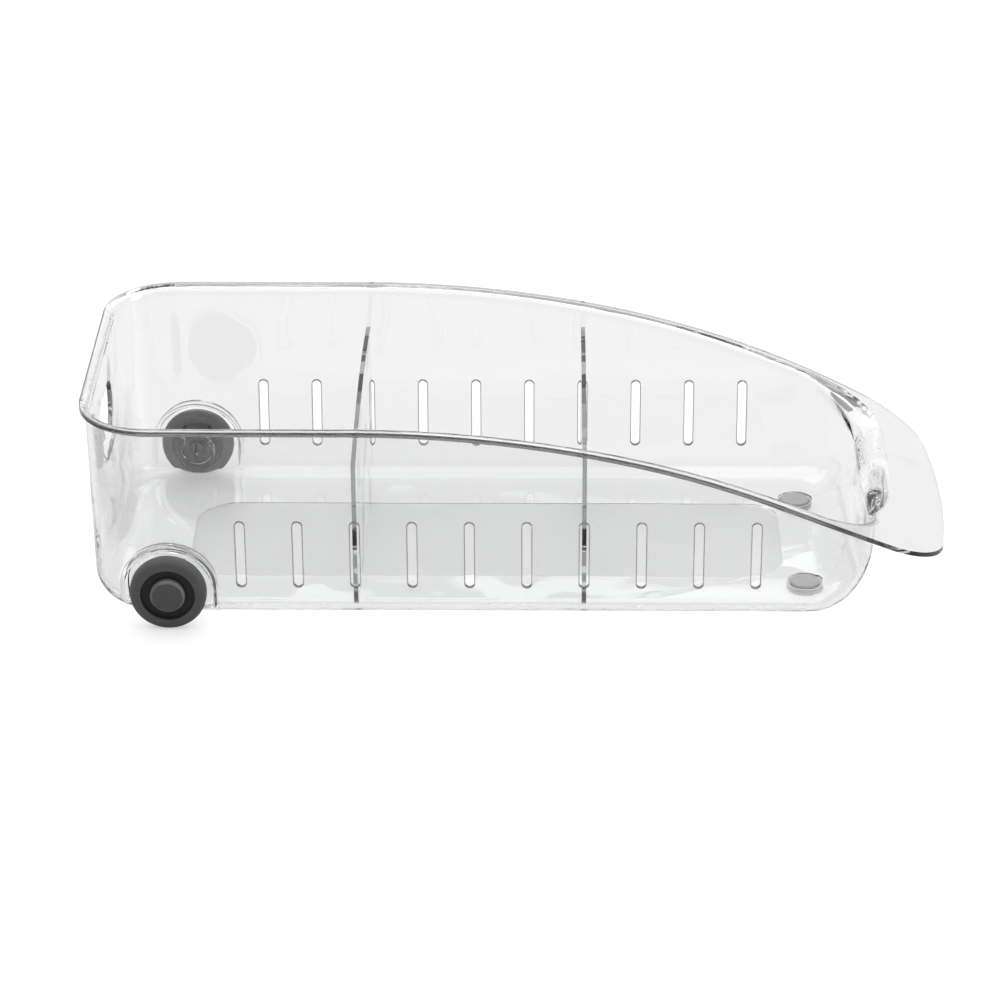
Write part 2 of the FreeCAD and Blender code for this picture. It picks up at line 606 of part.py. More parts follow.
def make_bin():
    outer = tub_block("outer", ZERO, S["underside"], S["rim_height"])
    inner = tub_block("inner", S["wall"], floor_top, S["rim_height"] + MARGIN)
    below_middle = extrude("below_middle", rim_line("middle_line", S["rim_thick"] / 2), CUT_REACH, True)
    below_top = extrude("below_top", rim_line("top_line", ZERO), CUT_REACH, True)
    below_rim = extrude("below_rim", rim_line("under_line", S["rim_thick"]), CUT_REACH, True)
    rim_block = extrude("rim_block", rim_plan(), S["rim_height"])
    rim = cut("rim", common("rim_top", [rim_block, below_top]), below_rim)
    solid = fuse("tub_with_rim", [common("tub_below_rim", [outer, below_middle]), rim])
    hollow = cut("hollow_tub", solid, inner)

    def rim_edges(edge):
        middle = edge.valueAt((edge.FirstParameter + edge.LastParameter) / 2)
        below = rim_top_at(middle.y) - middle.z
        depth = depth_in_wall(middle)
        first, last = [rim_bend_at(point) for point in edge_ends(edge)]
        if abs(below) < LINE_SEARCH and abs(depth - S["wall"].value) < WALL_SEARCH:
            return first, last
        thick = S["rim_thick"].value
        if abs(below - thick) < LINE_SEARCH and abs(depth) < WALL_SEARCH:
            return first - thick, last - thick
        return None

    tub = round_edges("rounded_tub", hollow, rim_edges)

    # slots and hand-hold, with rounded edges
    slotted = cut("slotted_tub", tub, fuse("wall_openings", [slot_row(), hand_hold()]))

    def opening_edges(edge):
        middle = edge.valueAt((edge.FirstParameter + edge.LastParameter) / 2)
        depth = depth_in_wall(middle)
        if min(abs(depth), abs(depth - S["wall"].value)) > WALL_SEARCH:
            return None
        slot_reach = S["slot_height"].value / 2 + LINE_SEARCH
        if in_slot_row(middle.y) and abs(middle.z - S["slot_middle"].value) < slot_reach:
            return S["slot_edge_round"].value, S["slot_edge_round"].value
        across = S["hold_width"].value / 2 + LINE_SEARCH
        upright = S["hold_height"].value / 2 + LINE_SEARCH
        in_hold = abs(middle.x) < across and abs(middle.z - number(hold_z)) < upright
        if in_hold and middle.y > number(rear_wall) - MARGIN.value:
            return S["hold_edge_round"].value, S["hold_edge_round"].value
        return None

    tub = round_edges("rounded_openings", slotted, opening_edges)

    # wheel wells: an arched pocket in each side, open below, with a rounded wall towards the inside
    room = S["tyre_radius"] + S["well_clearance"]
    out = S["rim_width"] / 2
    plate_inner = plate_face - S["wall"]
    well_wall = well_block("well_wall", room + S["wall"], plate_inner, out, S["well_round"])
    space = well_block("well_space", room, plate_face, out, S["well_round"] - S["wall"])
    flare = extrude("flare", arch("flare_arch", room + S["flare_width"], -MARGIN, plate_face), out)
    flare_bore = extrude("flare_bore", arch("flare_bore_arch", room, -MARGIN, plate_inner), out)
    flare_ring = cut("flare_ring", flare, flare_bore)
    swollen = tub_block("swollen", -S["flare_proud"], S["underside"], S["rim_height"])
    flares = common("flares", [swollen, fuse("flare_pair", both_sides("flare_ring", flare_ring))])
    well_walls = common("well_walls", [outer, fuse("well_wall_pair", both_sides("well_wall", well_wall))])
    pin_bore = S["pin_radius"] + S["pin_fit_gap"]
    pin_hole = cylinder("pin_hole", pin_bore, out, plate_inner - MARGIN, axle_y, axle_z, ALONG_X)

    # a rib on the well's wall guards the barbs of the pin; it is open at its top
    guard_start = plate_inner - S["guard_length"]
    rib_outline = keyhole("rib_outline", S["guard_radius"] + S["guard_wall"],
                          S["guard_neck"] + S["guard_wall"], axle_z + S["guard_rise"], guard_start)
    rib_bore = keyhole("rib_bore_outline", S["guard_radius"], S["guard_neck"],
                       axle_z + S["guard_rise"] + MARGIN, guard_start - MARGIN)
    rib = cut("guard_rib", extrude("guard_block", rib_outline, S["guard_length"] + S["wall"] / 2),
              extrude("guard_bore", rib_bore, S["guard_length"] + MARGIN))
    free_end = number(guard_start) + LINE_SEARCH
    rib_radii = S["guard_round"].value, S["guard_round"].value
    rib = round_edges("rounded_rib", rib, lambda edge: rib_radii if edge.BoundBox.XMax < free_end else None)

    # a round seat and a hole in the floor for each rubber foot
    neck_bore = S["foot_neck_radius"] + S["foot_fit_gap"]
    foot_hole = cylinder("foot_hole", neck_bore, floor_top + MARGIN, foot_x, foot_y, ZERO)
    foot_room = cylinder("foot_seat", S["foot_seat_radius"], MARGIN, foot_x, foot_y, foot_seat)
    foot_opening = fuse("foot_opening", [foot_hole, foot_room])

    tub_with_wells = fuse("tub_with_wells", [tub, well_walls, flares])
    solid = cut("tub_less_wells", tub_with_wells, fuse("well_spaces", both_sides("well_space", space)))
    solid = fuse("tub_with_ribs", [solid] + both_sides("guard_rib", rib))
    openings = both_sides("pin_hole", pin_hole) + both_sides("foot_opening", foot_opening) + [floor_panel()]
    tub = cut("bin", solid, fuse("bin_openings", openings))
    tub.Label = "bin"
    return tub


def well_block(name, radius, inner_end, length, rounding):
    """An arched block from its inner end outwards, with a rounded edge around that end."""
    block = extrude(name + "_block", arch(name + "_arch", radius, -MARGIN, inner_end), length)
    plane = number(inner_end) + LINE_SEARCH
    radii = number(rounding), number(rounding)
    return round_edges(name, block, lambda edge: radii if edge.BoundBox.XMax < plane
                       and edge.BoundBox.ZMax > LINE_SEARCH else None)


def in_slot_row(y):
    """Whether a place along the bin lies within one of the slots."""
    return any(abs(y - number(slot_place(slot))) < S["slot_width"].value / 2 + LINE_SEARCH
               for slot in range(slot_count))


def slot_row():
    """Both walls' slots as one row of bars right across the bin."""
    radius = S["slot_width"] / 2
    outline = Outline("slot_outlines", rotation=SIDE)
    for slot in range(slot_count):
        obround(outline, slot_place(slot), S["slot_middle"], S["slot_height"] / 2 - radius, radius, True)
    return extrude("slots", outline.sketch, CUT_REACH, True)


def slot_place(slot):
    return rear_slot_y - S["slot_pitch"] * slot


def hand_hold():
    radius = S["hold_height"] / 2
    outline = Outline("hand_hold_outline", rotation=ACROSS, y=rear_end)
    obround(outline, ZERO, hold_z, S["hold_width"] / 2 - radius, radius, False)
    return extrude("hand_hold", outline.sketch, S["rear_overhang"] + S["rear_lean"] + S["wall"] + MARGIN)


def floor_panel():
    """The shallow sunken panel in the floor."""
    half, rear = half_bottom - S["panel_inset"], rear_end - S["panel_from_rear"]
    front = lip_tip + S["panel_from_tip"]
    rear_round, front_round = S["panel_rear_radius"], S["panel_front_radius"]
    outline = Outline("panel_outline", z=floor_top - S["panel_depth"])
    outline.line((-half + front_round, front), (half - front_round, front), "Horizontal")
    front_right = outline.arc((half - front_round, front + front_round), front_round, 270, 360)
    outline.line((half, front + front_round), (half, rear - rear_round), "Vertical")
    rear_right = outline.arc((half - rear_round, rear - rear_round), rear_round, 0, 90)
    outline.line((half - rear_round, rear), (-half + rear_round, rear), "Horizontal")
    rear_left = outline.arc((-half + rear_round, rear - rear_round), rear_round, 90, 180)
    outline.line((-half, rear - rear_round), (-half, front + front_round), "Vertical")
    front_left = outline.arc((-half + front_round, front + front_round), front_round, 180, 270)
    outline.close()
    for index, radius in ((front_right, front_round), (front_left, front_round),
                          (rear_right, rear_round), (rear_left, rear_round)):
        outline.radius(index, radius)
    outline.at(front_right, Outline.START, None, front)
    outline.at(front_right, Outline.END, half, None)
    outline.at(rear_left, Outline.START, None, rear)
    outline.at(rear_left, Outline.END, -half, None)
    return extrude("panel", outline.sketch, MARGIN)


# ---------------------------------------------------------------- loose pieces

def new_body(name):
    body = doc.addObject("PartDesign::Body", name)
    body.Label = name
    return body


def turned(name, corners, plane="XY_Plane", axis="H_Axis"):
    """A piece turned on a lathe: its half section goes once around one of the sketch's axes."""
    body = new_body(name)
    section = polygon(name + "_section", corners, body=body, plane=plane)
    turn = body.newObject("PartDesign::Revolution", name + "_turn")
    turn.Profile = section
    turn.ReferenceAxis = (section, [axis])
    turn.Angle = 360.0
    body.Tip = turn
    return body


def smooth_edges(body, radius, choose):
    """Round the edges of a body's last feature for which choose(edge) is true."""
    doc.recompute()
    base = body.Tip
    edges = ["Edge%d" % index for index, edge in enumerate(base.Shape.Edges, start=1) if choose(edge)]
    rounding = body.newObject("PartDesign::Fillet", body.Name + "_rounding")
    rounding.Base = (base, edges)
    bind(rounding, "Radius", radius)
    rounding.Radius = number(radius)
    body.Tip = rounding


def divider(name, slot):
    """A clear plate that stands on the floor, with a tab at each side in a slot."""
    thick, bottom, top = S["divider_thick"], floor_top, S["rim_height"] - S["divider_drop"]
    corner = S["side_radius"] - S["wall"] + S["divider_gap"]
    half_low = outer_half(bottom + corner) - S["wall"] - S["divider_gap"]
    half_high = outer_half(top) - S["wall"] - S["divider_gap"]
    crown = S["divider_crown"]
    bow = (half_high * half_high + crown * crown) / (crown * 2)
    spread = math.degrees(math.asin(number(half_high / bow)))
    body = new_body(name)
    outline = Outline(name + "_outline", body=body, plane="XZ_Plane")
    base = outline.line((corner - half_low, bottom), (half_low - corner, bottom), "Horizontal")
    right = outline.arc((half_low - corner, bottom + corner), corner, 270, 360)
    right_side = outline.line((half_low, bottom + corner), (half_high, top))
    crown_arc = outline.arc((ZERO, top + crown - bow), bow, 90 - spread, 90 + spread)
    left_side = outline.line((-half_high, top), (-half_low, bottom + corner))
    left = outline.arc((corner - half_low, bottom + corner), corner, 180, 270)
    outline.close(sharp=(right_side, crown_arc))
    outline.radius(right, corner)
    outline.radius(left, corner)
    outline.radius(crown_arc, bow)
    outline.at(right, Outline.MIDDLE, half_low - corner, None)
    outline.at(left, Outline.MIDDLE, corner - half_low, None)
    outline.at(base, Outline.START, None, bottom)
    outline.at(right_side, Outline.END, half_high, top)
    outline.at(left_side, Outline.START, -half_high, top)
    plate = body.newObject("PartDesign::Pad", name + "_plate")
    plate.Profile = outline.sketch
    plate.Midplane = True
    bind(plate, "Length", thick)

    tab_low = S["slot_middle"] - S["slot_height"] / 2 + S["tab_seat_gap"]
    tab_high = S["slot_middle"] + S["slot_height"] / 2 - S["tab_top_gap"]
    reach, root = outer_half(tab_low) - S["divider_gap"] / 2, half_low - corner
    tabs = Outline(name + "_tab_outline", body=body, plane="XZ_Plane")
    for near, far in ((root, reach), (-reach, -root)):
        edges = [tabs.line((near, tab_low), (far, tab_low)), tabs.line((far, tab_low), (far, tab_high)),
                 tabs.line((far, tab_high), (near, tab_high)), tabs.line((near, tab_high), (near, tab_low))]
        corners = ((near, tab_low), (far, tab_low), (far, tab_high), (near, tab_high))
        for index, (x, y) in zip(edges, corners):
            tabs.at(index, Outline.START, x, y)
        tabs.close(sharp=edges)
    tab = body.newObject("PartDesign::Pad", name + "_tabs")
    tab.Profile = tabs.sketch
    tab.Midplane = True
    bind(tab, "Length", thick)
    body.Tip = tab
    place(body, y=slot_place(slot))
    return body


def wheel_set(side, turn):
    """Tyre, hub and pin of one side, each drawn along +X from the middle of the bin."""
    face, plate = tyre_face, plate_face
    back = face - S["tyre_width"]
    hub_face = face - S["hub_recess"]
    bore = S["pin_radius"] + S["spin_gap"]
    seat = hub_face - S["cap_sink"]
    cap_hole = S["cap_radius"] + S["end_gap"]
    ring_bore = S["hub_radius"] - S["hub_ring"]
    web_back = seat - S["hub_web"]

    tyre_bore = S["hub_radius"] - S["hub_grip"]
    tyre = turned("tyre_" + side, [(back, tyre_bore), (face, tyre_bore),
                                   (face, S["tyre_radius"]), (back, S["tyre_radius"])])
    shoulder = S["tyre_radius"].value
    smooth_edges(tyre, S["tyre_round"], lambda edge: isinstance(edge.Curve, Part.Circle)
                 and abs(edge.Curve.Radius - shoulder) < LINE_SEARCH)

    hub = turned("wheel_hub_" + side, [
        (plate + S["end_gap"], bore), (seat, bore), (seat, cap_hole), (hub_face, cap_hole),
        (hub_face, S["hub_radius"]), (back, S["hub_radius"]), (back, ring_bore), (web_back, ring_bore),
        (web_back, S["sleeve_radius"]), (plate + S["end_gap"], S["sleeve_radius"])])

    barb_seat = plate - S["wall"]
    barb_tip = barb_seat - S["barb_length"]
    cap_back = seat + S["end_gap"]
    cap_face = hub_face + S["cap_proud"]
    bevel = S["cap_bevel"]
    pin = turned("axle_pin_" + side, [
        (barb_tip, ZERO), (cap_face, ZERO), (cap_face, S["cap_radius"] - bevel),
        (cap_face - bevel, S["cap_radius"]), (cap_back, S["cap_radius"]), (cap_back, S["pin_radius"]),
        (barb_seat, S["pin_radius"]), (barb_seat, S["barb_radius"]),
        (barb_seat - S["barb_land"], S["barb_radius"]), (barb_tip, S["pin_radius"])])
    half_split = S["split_width"] / 2
    split_start, split_end = barb_tip - MARGIN, plate
    split_corners = [(split_start, -half_split), (split_end, -half_split),
                     (split_end, half_split), (split_start, half_split)]
    split = polygon(pin.Name + "_split_outline", split_corners, body=pin)
    slit = pin.newObject("PartDesign::Pocket", pin.Name + "_split")
    slit.Profile = split
    slit.Type = "ThroughAll"
    slit.Midplane = True
    pin.Tip = slit
    for piece in (tyre, hub, pin):
        place(piece, y=axle_y, z=axle_z, rotation=Rotation(Vector(0, 0, 1), turn))
    return [tyre, hub, pin]


def rubber_foot(side, sign):
    """A push-in foot, turned about Z: a base under the floor, a neck through it and a head inside."""
    base, neck, head, bevel = (S["foot_base_radius"], S["foot_neck_radius"], S["foot_head_radius"],
                               S["foot_edge"])
    base_top = S["underside"] - S["foot_fit_gap"]
    head_start = foot_seat + S["foot_fit_gap"]
    top = head_start + S["foot_head_thick"]
    foot = turned("rubber_foot_" + side, [
        (ZERO, ZERO), (base - bevel, ZERO), (base, bevel), (base, base_top), (neck, base_top),
        (neck, head_start), (head, head_start), (head, top - bevel), (head - bevel, top),
        (ZERO, top)], plane="XZ_Plane", axis="V_Axis")
    place(foot, x=foot_x * sign, y=foot_y)
    return foot


# ---------------------------------------------------------------- the whole bin

pieces = [make_bin()]
pieces.append(divider("divider_rear", REAR_DIVIDER_SLOT))
pieces.append(divider("divider_front", FRONT_DIVIDER_SLOT))
for side, sign, turn in (("right", 1, 0), ("left", -1, 180)):
    pieces += wheel_set(side, turn)
    pieces.append(rubber_foot(side, sign))
doc.recompute()

for thing in doc.Objects:
    if "Invalid" in thing.State or "Error" in thing.State:
        raise RuntimeError("%s did not build: %s" % (thing.Name, thing.State))
for piece in pieces:
    if piece.Shape.isNull() or not piece.Shape.isValid() or len(piece.Shape.Solids) != 1:
        raise RuntimeError("%s is not one sound solid" % piece.Label)

os.makedirs("parts", exist_ok=True)
for piece in pieces:
    piece.Shape.exportStep("parts/%s.step" % piece.Label)
    print("%-18s %9.1f mm3" % (piece.Label, piece.Shape.Volume))
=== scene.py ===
# %% [markdown]
# # A clear rolling fridge bin
#
# The object is a long, open-topped bin of clear plastic that works as a drawer on a fridge shelf.
# It rolls on two wheels at its back, stands on two rubber feet at its front, and is pulled by a
# drooping lip. Two clear dividers stand across it, held by tabs in two rows of slots.
#
# Every hard piece already exists as a solid from the CAD model. This lesson loads those solids as a
# fixed frame, gives each of them its finish, and sets up the camera, the floor and the light.
# All lengths are in metres; +Y is the back of the bin, -Y the pull lip, and +Z is up.

# %% Load the frame
import bpy
import bmesh
import math
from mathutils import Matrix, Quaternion, Vector

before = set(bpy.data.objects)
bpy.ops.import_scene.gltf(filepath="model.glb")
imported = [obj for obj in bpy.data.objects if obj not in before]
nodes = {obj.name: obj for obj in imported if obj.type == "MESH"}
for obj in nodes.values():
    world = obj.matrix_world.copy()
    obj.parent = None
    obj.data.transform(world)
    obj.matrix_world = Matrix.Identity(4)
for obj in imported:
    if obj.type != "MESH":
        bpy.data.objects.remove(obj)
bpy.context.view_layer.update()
print("pieces:", ", ".join(sorted(nodes)))

# %% [markdown]
# ## The camera
#
# The bin is seen from one side, with its pull lip to the right, from a little above. A long lens far
# away keeps the near and the far wall almost the same size. One could turn the camera by hand until
# it looks right, but aiming it from a place at a point gives the same view on every run. The last
# quarter of a degree is a roll about the line of sight, because a camera on a tripod is never quite
# level.

# %% Camera
CAMERA_PLACE = Vector((-1.5639, -0.0163, 0.7940))
CAMERA_AIM = Vector((0.0, 0.0089, 0.0246))
CAMERA_ROLL = -0.0042
LENS = 135.8


def make_camera():
    """A long lens aimed at the middle of the bin."""
    lens = bpy.data.cameras.new("camera")
    lens.sensor_width = 36.0
    lens.lens = LENS
    lens.clip_start = 0.01
    lens.clip_end = 60.0
    camera = bpy.data.objects.new("camera", lens)
    bpy.context.scene.collection.objects.link(camera)
    camera.location = CAMERA_PLACE
    camera.rotation_mode = "QUATERNION"
    level = (CAMERA_AIM - CAMERA_PLACE).to_track_quat("-Z", "Y")
    camera.rotation_quaternion = level @ Quaternion((0, 0, 1), CAMERA_ROLL)
    bpy.context.scene.camera = camera
    return camera


camera = make_camera()
print("camera distance:", round((CAMERA_AIM - CAMERA_PLACE).length, 3), "m, lens", LENS, "mm")

# %% [markdown]
# ## Small helpers for materials
#
# A material is a little network of nodes. Building each network by hand in the editor works for one
# material, but in a script it is clearer to have a few short helpers: one that starts a material
# with a single Principled shader, one that adds a node with its values, and one that joins sockets.
# A few more do the arithmetic that masks need: how far one value is past another, and how long a
# slanted line is.

# %% Helpers for nodes
def new_material(name, **values):
    """A material with one Principled shader, whose sockets get the given plain values."""
    material = bpy.data.materials.new(name)
    material.use_nodes = True
    tree = material.node_tree
    tree.nodes.clear()
    output = tree.nodes.new("ShaderNodeOutputMaterial")
    shader = tree.nodes.new("ShaderNodeBsdfPrincipled")
    tree.links.new(shader.outputs["BSDF"], output.inputs["Surface"])
    for socket, value in values.items():
        shader.inputs[socket.replace("_", " ")].default_value = value
    return material, tree, shader, output


def add(tree, kind, *settings, **inputs):
    """A node of a kind; settings are (property, value) pairs, inputs are values or sockets."""
    node = tree.nodes.new(kind)
    for name, value in settings:
        setattr(node, name, value)
    for name, value in inputs.items():
        connect(tree, value, node.inputs[name.replace("_", " ")])
    return node


def connect(tree, value, socket):
    """Feed a socket from another socket, or set it to a plain value."""
    if isinstance(value, bpy.types.NodeSocket):
        tree.links.new(value, socket)
    else:
        socket.default_value = value


def calculate(tree, operation, first, second=0.0, third=None):
    """One step of arithmetic on sockets or numbers."""
    node = add(tree, "ShaderNodeMath", ("operation", operation))
    connect(tree, first, node.inputs[0])
    connect(tree, second, node.inputs[1])
    if third is not None:
        connect(tree, third, node.inputs[2])
    return node.outputs[0]


def past(tree, value, limit):
    """How far a value lies past a limit, and 0 before it."""
    return calculate(tree, "MAXIMUM", calculate(tree, "SUBTRACT", value, limit), 0.0)


def apart(tree, first, second):
    """How far apart two values are, whichever is larger."""
    return calculate(tree, "ABSOLUTE", calculate(tree, "SUBTRACT", first, second))


def slant(tree, first, second):
    """The length of a line that runs this far one way and that far the other."""
    squares = [calculate(tree, "POWER", side, 2.0) for side in (first, second)]
    return calculate(tree, "SQRT", calculate(tree, "ADD", *squares))


def object_place(tree):
    """The place on the piece, in metres, as the CAD model gives it."""
    return add(tree, "ShaderNodeTexCoord").outputs["Object"]


def parts_of(tree, place):
    """The X, Y and Z parts of a place or a direction."""
    node = add(tree, "ShaderNodeSeparateXYZ", Vector=place)
    return node.outputs["X"], node.outputs["Y"], node.outputs["Z"]


def noise(tree, place, scale, detail=2.0, roughness=0.5):
    """Cloudy noise; scale is how many clouds there are to a metre."""
    node = add(tree, "ShaderNodeTexNoise", Vector=place, Scale=scale, Detail=detail, Roughness=roughness)
    return node.outputs["Fac"]


def between(tree, value, low, high, to_low, to_high):
    """Stretch a value from one range to another and keep it inside the second."""
    node = add(tree, "ShaderNodeMapRange", ("clamp", True))
    for socket, number in zip(("Value", "From Min", "From Max", "To Min", "To Max"),
                              (value, low, high, to_low, to_high)):
        connect(tree, number, node.inputs[socket])
    return node.outputs["Result"]


MIX_FIRST, MIX_SECOND, MIX_RESULT = 6, 7, 2


def mix_colours(tree, share, first, second):
    """The first colour where the share is 0, the second where it is 1; the sockets go by number."""
    node = add(tree, "ShaderNodeMix", ("data_type", "RGBA"), Factor=share)
    connect(tree, first, node.inputs[MIX_FIRST])
    connect(tree, second, node.inputs[MIX_SECOND])
    return node.outputs[MIX_RESULT]


def bump(tree, height, distance, strength=1.0, normal=None):
    """Turn a height between 0 and 1 into a bumpy normal; distance is how tall 1 is, in metres."""
    node = add(tree, "ShaderNodeBump", Height=height, Distance=distance, Strength=strength)
    if normal is not None:
        connect(tree, normal, node.inputs["Normal"])
    return node.outputs["Normal"]


def use_group(tree, group, **inputs):
    """Place a shared effect in a material with its own values."""
    node = tree.nodes.new("ShaderNodeGroup")
    node.node_tree = group
    for name, value in inputs.items():
        connect(tree, value, node.inputs[name])
    return node


print("helpers ready")

# %% [markdown]
# ## Effects that several finishes share
#
# A moulding is never perfectly flat. A very low, wide bump bends the reflections the way the slight
# sinking of a cooling wall does. Nor is it perfectly clean: small scuffs and specks of dust sit on
# it, and its tone drifts a little from place to place. Both could be written into every material,
# but a node group keeps each in one place. A group gives only masks and heights, and each material
# decides what they do.

# %% Shared effect: the waviness of a moulded wall
def make_moulded_waves():
    """A node group: a height from 0 to 1 that rises and falls slowly, as on a cooled moulding."""
    group = bpy.data.node_groups.new("moulded_waves", "ShaderNodeTree")
    sockets = group.interface
    sockets.new_socket("Scale", in_out="INPUT", socket_type="NodeSocketFloat")
    sockets.new_socket("Height", in_out="OUTPUT", socket_type="NodeSocketFloat")
    given = group.nodes.new("NodeGroupInput")
    result = group.nodes.new("NodeGroupOutput")
    waves = noise(group, object_place(group), given.outputs["Scale"], 1.0, 0.4)
    group.links.new(waves, result.inputs["Height"])
    return group


moulded_waves = make_moulded_waves()
print("group:", moulded_waves.name)


# %% Shared effect: dust and fine scuffs
SPECK_START, SPECK_FULL = 0.56, 0.74
CLOUD_SHARE = 0.12


def make_fine_wear():
    """A node group: a mask of small scuffs and specks of dust, and a broad cloudiness."""
    group = bpy.data.node_groups.new("fine_wear", "ShaderNodeTree")
    sockets = group.interface
    sockets.new_socket("Scale", in_out="INPUT", socket_type="NodeSocketFloat")
    sockets.new_socket("Specks", in_out="OUTPUT", socket_type="NodeSocketFloat")
    sockets.new_socket("Clouds", in_out="OUTPUT", socket_type="NodeSocketFloat")
    given = group.nodes.new("NodeGroupInput")
    result = group.nodes.new("NodeGroupOutput")
    place = object_place(group)
    fine = noise(group, place, given.outputs["Scale"], 6.0, 0.65)
    specks = between(group, fine, SPECK_START, SPECK_FULL, 0.0, 1.0)
    broad = calculate(group, "MULTIPLY", given.outputs["Scale"], CLOUD_SHARE)
    clouds = noise(group, place, broad, 3.0, 0.5)
    group.links.new(specks, result.inputs["Specks"])
    group.links.new(clouds, result.inputs["Clouds"])
    return group


fine_wear = make_fine_wear()
print("group:", fine_wear.name)


# %% [markdown]
# ### The matt panel in the floor
#
# The middle of the bin's floor is not polished like the rest: a long, sunken panel with rounded
# corners is matt. It could be a piece of its own, but it is the same plastic with a rougher skin, so
# it is a mask in the bin's material. The mask is a rounded rectangle drawn from the place on the
# piece: outside it is 0, inside it is 1. It holds only at the height of the panel's face, so that
# the underside stays polished.

# %% The panel's mask
PANEL_HALF = 0.0374
PANEL_REAR, PANEL_FRONT = 0.1513, -0.1211
PANEL_CORNER = 0.018
PANEL_LEVEL = 0.0047
PANEL_BLUR = 0.0002
LEVEL_NEAR, LEVEL_FAR = 0.0001, 0.0002


def panel_mask(tree, place):
    """1 on the matt panel in the bin's floor, 0 elsewhere."""
    side, back, height = parts_of(tree, place)
    half_length = (PANEL_REAR - PANEL_FRONT) / 2
    across = calculate(tree, "ABSOLUTE", side)
    along = apart(tree, back, (PANEL_REAR + PANEL_FRONT) / 2)
    outside = slant(tree, past(tree, across, PANEL_HALF - PANEL_CORNER),
                    past(tree, along, half_length - PANEL_CORNER))
    inside = between(tree, outside, PANEL_CORNER - PANEL_BLUR, PANEL_CORNER + PANEL_BLUR, 1.0, 0.0)
    low = between(tree, height, PANEL_LEVEL + LEVEL_NEAR, PANEL_LEVEL + LEVEL_FAR, 1.0, 0.0)
    high = between(tree, height, PANEL_LEVEL - LEVEL_FAR, PANEL_LEVEL - LEVEL_NEAR, 0.0, 1.0)
    return calculate(tree, "MULTIPLY", inside, calculate(tree, "MULTIPLY", low, high))


print("matt panel:", round(2 * PANEL_HALF, 4), "by", round(PANEL_REAR - PANEL_FRONT, 4), "m")

# %% [markdown]
# ### Painted shade along the outlines of the slots and the rim
#
# The rounded edge of a slot bends light into the wall, where it is caught and comes out much weaker.
# The eye sees a thin grey line around each slot, and a broader one along the upright outer edge of
# the rim. Rounded edges alone gave lines that were too pale, so a mask marks each edge and shade is
# painted into the material's colour there. For the slots, the row is folded onto one slot by counting
# in steps of the spacing, and the distance to a bar with round ends gives the outline. For the rim,
# the distance to its outline seen from above does the same. The rim's mask of painted shade fades out
# towards the lip, whose edge is pale.

# %% The mask of painted shade on the slots' edges
SLOT_FIRST, SLOT_PITCH, SLOT_LAST = 0.1229, 0.0254, -0.1057
SLOT_MIDDLE, SLOT_HALF_HEIGHT, SLOT_HALF_WIDTH = 0.0345, 0.01625, 0.002
SLOT_EDGE, SLOT_EDGE_FULL = 0.00055, 0.6
WALL_START = 0.07


def slot_edge_shade_mask(tree, place):
    """1 on the rounded edges of the slots, where shade is painted, 0 elsewhere."""
    side, back, height = parts_of(tree, place)
    steps = calculate(tree, "DIVIDE", calculate(tree, "SUBTRACT", SLOT_FIRST, back), SLOT_PITCH)
    nearest = calculate(tree, "ROUND", steps)
    across = calculate(tree, "MULTIPLY", apart(tree, steps, nearest), SLOT_PITCH)
    past_end = past(tree, apart(tree, height, SLOT_MIDDLE), SLOT_HALF_HEIGHT - SLOT_HALF_WIDTH)
    from_edge = calculate(tree, "SUBTRACT", slant(tree, across, past_end), SLOT_HALF_WIDTH)
    near = between(tree, from_edge, SLOT_EDGE * SLOT_EDGE_FULL, SLOT_EDGE, 1.0, 0.0)
    along = apart(tree, back, (SLOT_FIRST + SLOT_LAST) / 2)
    in_row = calculate(tree, "LESS_THAN", along, (SLOT_FIRST - SLOT_LAST) / 2 + SLOT_PITCH / 2)
    in_wall = calculate(tree, "GREATER_THAN", calculate(tree, "ABSOLUTE", side), WALL_START)
    return calculate(tree, "MULTIPLY", near, calculate(tree, "MULTIPLY", in_row, in_wall))


print("slots in a row:", round((SLOT_FIRST - SLOT_LAST) / SLOT_PITCH) + 1)


# %% The mask of painted shade on the rim's outer edge
RIM_HALF, RIM_REAR, RIM_CORNER = 0.084, 0.1941, 0.0341
TAPER_START, TAPER_RADIUS = -0.1171, 0.26
RIM_EDGE = 0.0004
LIP_PLAIN, LIP_START = -0.182, -0.168


def rim_edge_shade_mask(tree, place):
    """1 on the upright outer edge of the rim, along the sides and the back, where shade is painted."""
    side, back, _ = parts_of(tree, place)
    aside = calculate(tree, "ABSOLUTE", side)
    corner = slant(tree, past(tree, aside, RIM_HALF - RIM_CORNER), past(tree, back, RIM_REAR - RIM_CORNER))
    body = calculate(tree, "SUBTRACT", corner, RIM_CORNER)
    reach = calculate(tree, "ADD", aside, TAPER_RADIUS - RIM_HALF)
    ahead = past(tree, TAPER_START, back)
    taper = calculate(tree, "SUBTRACT", slant(tree, reach, ahead), TAPER_RADIUS)
    outside = calculate(tree, "MAXIMUM", body, taper)
    upright = between(tree, outside, -RIM_EDGE, -RIM_EDGE / 2, 0.0, 1.0)
    behind_lip = between(tree, back, LIP_PLAIN, LIP_START, 0.0, 1.0)
    return calculate(tree, "MULTIPLY", upright, behind_lip)


print("rim:", 2 * RIM_HALF, "m wide")

# %% [markdown]
# ## Clear plastic
#
# The bin and the dividers are moulded from a clear, glassy plastic. Light goes through the walls
# almost unchanged, so what the eye sees is the outlines. Along every rim and corner light travels
# inside the wall for a long way and comes out darker.
#
# Two values set how grey the plastic is. The base colour acts once for each face that a ray goes
# through, so it sets the tone of a wall seen square on. The haze acts along the way inside, so it
# darkens only what is seen edgewise. The bin has little haze, because light that is caught in its
# long rim would come out as black blotches; the thin dividers have more.
#
# A glass shader alone also throws a heavy shadow, because this renderer doesn't follow light through
# glass onto the floor. So for a ray that only asks whether a lamp is in sight, or that carries soft
# light on from a matt surface, the shader is swapped for a clear film.

